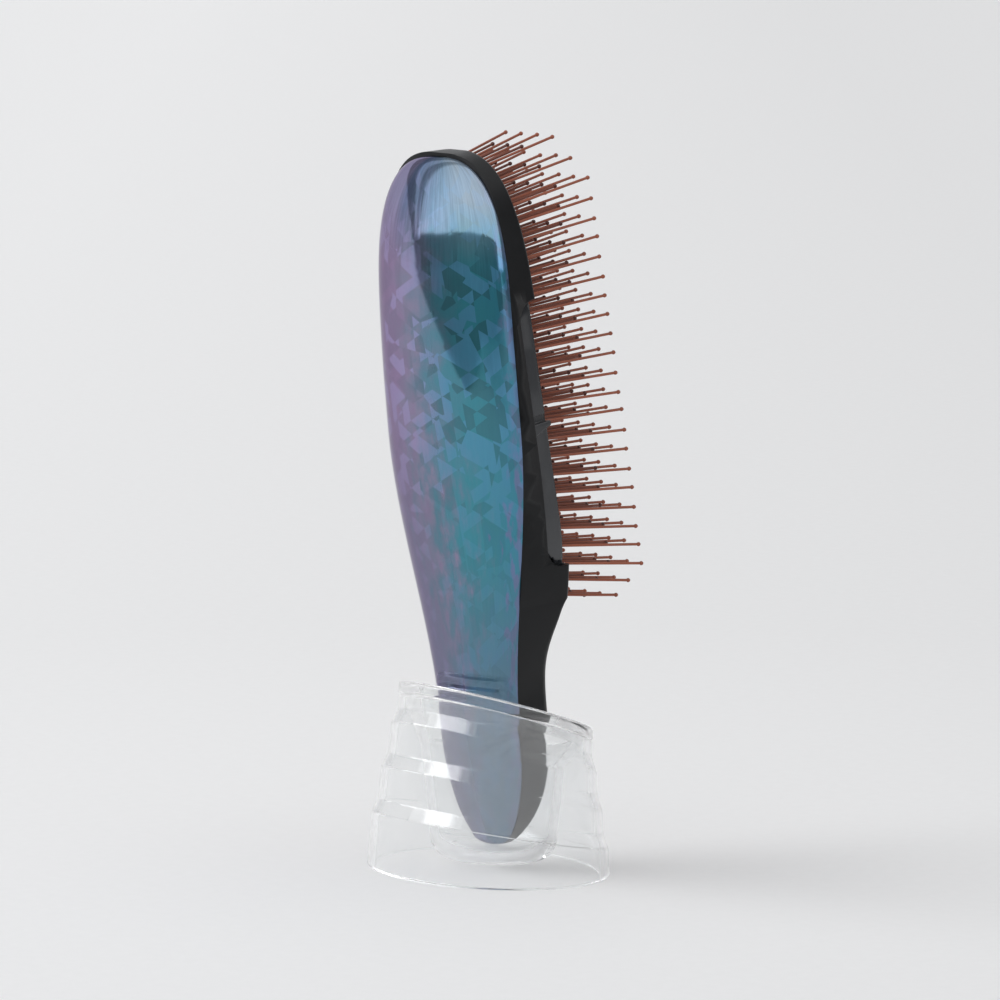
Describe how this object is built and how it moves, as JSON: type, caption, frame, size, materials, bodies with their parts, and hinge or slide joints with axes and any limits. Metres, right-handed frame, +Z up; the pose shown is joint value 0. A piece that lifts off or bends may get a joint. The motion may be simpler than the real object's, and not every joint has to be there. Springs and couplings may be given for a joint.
{
  "type": "scalp brush with stand",
  "caption": "Hand-held scalp brush with a domed back, ball-tipped pins on a removable head and a short handle, standing in a clear tiered oval stand.",
  "frame": {"origin": "middle of the stand's foot, on the surface that it stands on", "axes": "+Z up, +Y the way the pins point, X across the brush with the plane of symmetry at X = 0"},
  "size_m": [0.0672, 0.0582, 0.175],
  "materials": {
    "clear_plastic": "clear, polished",
    "cover_gloss": "gloss, blue-green to mauve prismatic foil",
    "body_satin": "satin black",
    "frame_gloss": "gloss dark grey",
    "pad_rubber": "matt black",
    "pin_nylon": "satin copper brown"
  },
  "bodies": {
    "stand": {"stand_skirt": "clear_plastic", "stand_socket": "clear_plastic"},
    "brush": {"back_cover": "cover_gloss", "front_body": "body_satin"},
    "brush_head": {"head_frame": "frame_gloss", "cushion_pad": "pad_rubber", "pin_row_01": "pin_nylon", "pin_row_02": "pin_nylon", "pin_row_03": "pin_nylon", "pin_row_04": "pin_nylon", "pin_row_05": "pin_nylon", "pin_row_06": "pin_nylon", "pin_row_07": "pin_nylon", "pin_row_08": "pin_nylon", "pin_row_09": "pin_nylon", "pin_row_10": "pin_nylon", "pin_row_11": "pin_nylon", "pin_row_12": "pin_nylon", "pin_row_13": "pin_nylon", "pin_row_14": "pin_nylon", "pin_row_15": "pin_nylon", "pin_row_16": "pin_nylon", "pin_row_17": "pin_nylon", "pin_row_18": "pin_nylon", "pin_row_19": "pin_nylon", "pin_row_20": "pin_nylon", "pin_row_21": "pin_nylon", "pin_row_22": "pin_nylon", "pin_row_23": "pin_nylon", "pin_row_24": "pin_nylon", "pin_row_25": "pin_nylon"}
  },
  "joints": [
    {"name": "brush_lift", "type": "slide", "parent": "stand", "child": "brush", "axis": [0, -0.1005, 0.9949], "range_m": [0, 0.045]},
    {"name": "head_release", "type": "slide", "parent": "brush", "child": "brush_head", "axis": [0, 0.9836, 0.1805], "range_m": [0, 0.02]}
  ]
}
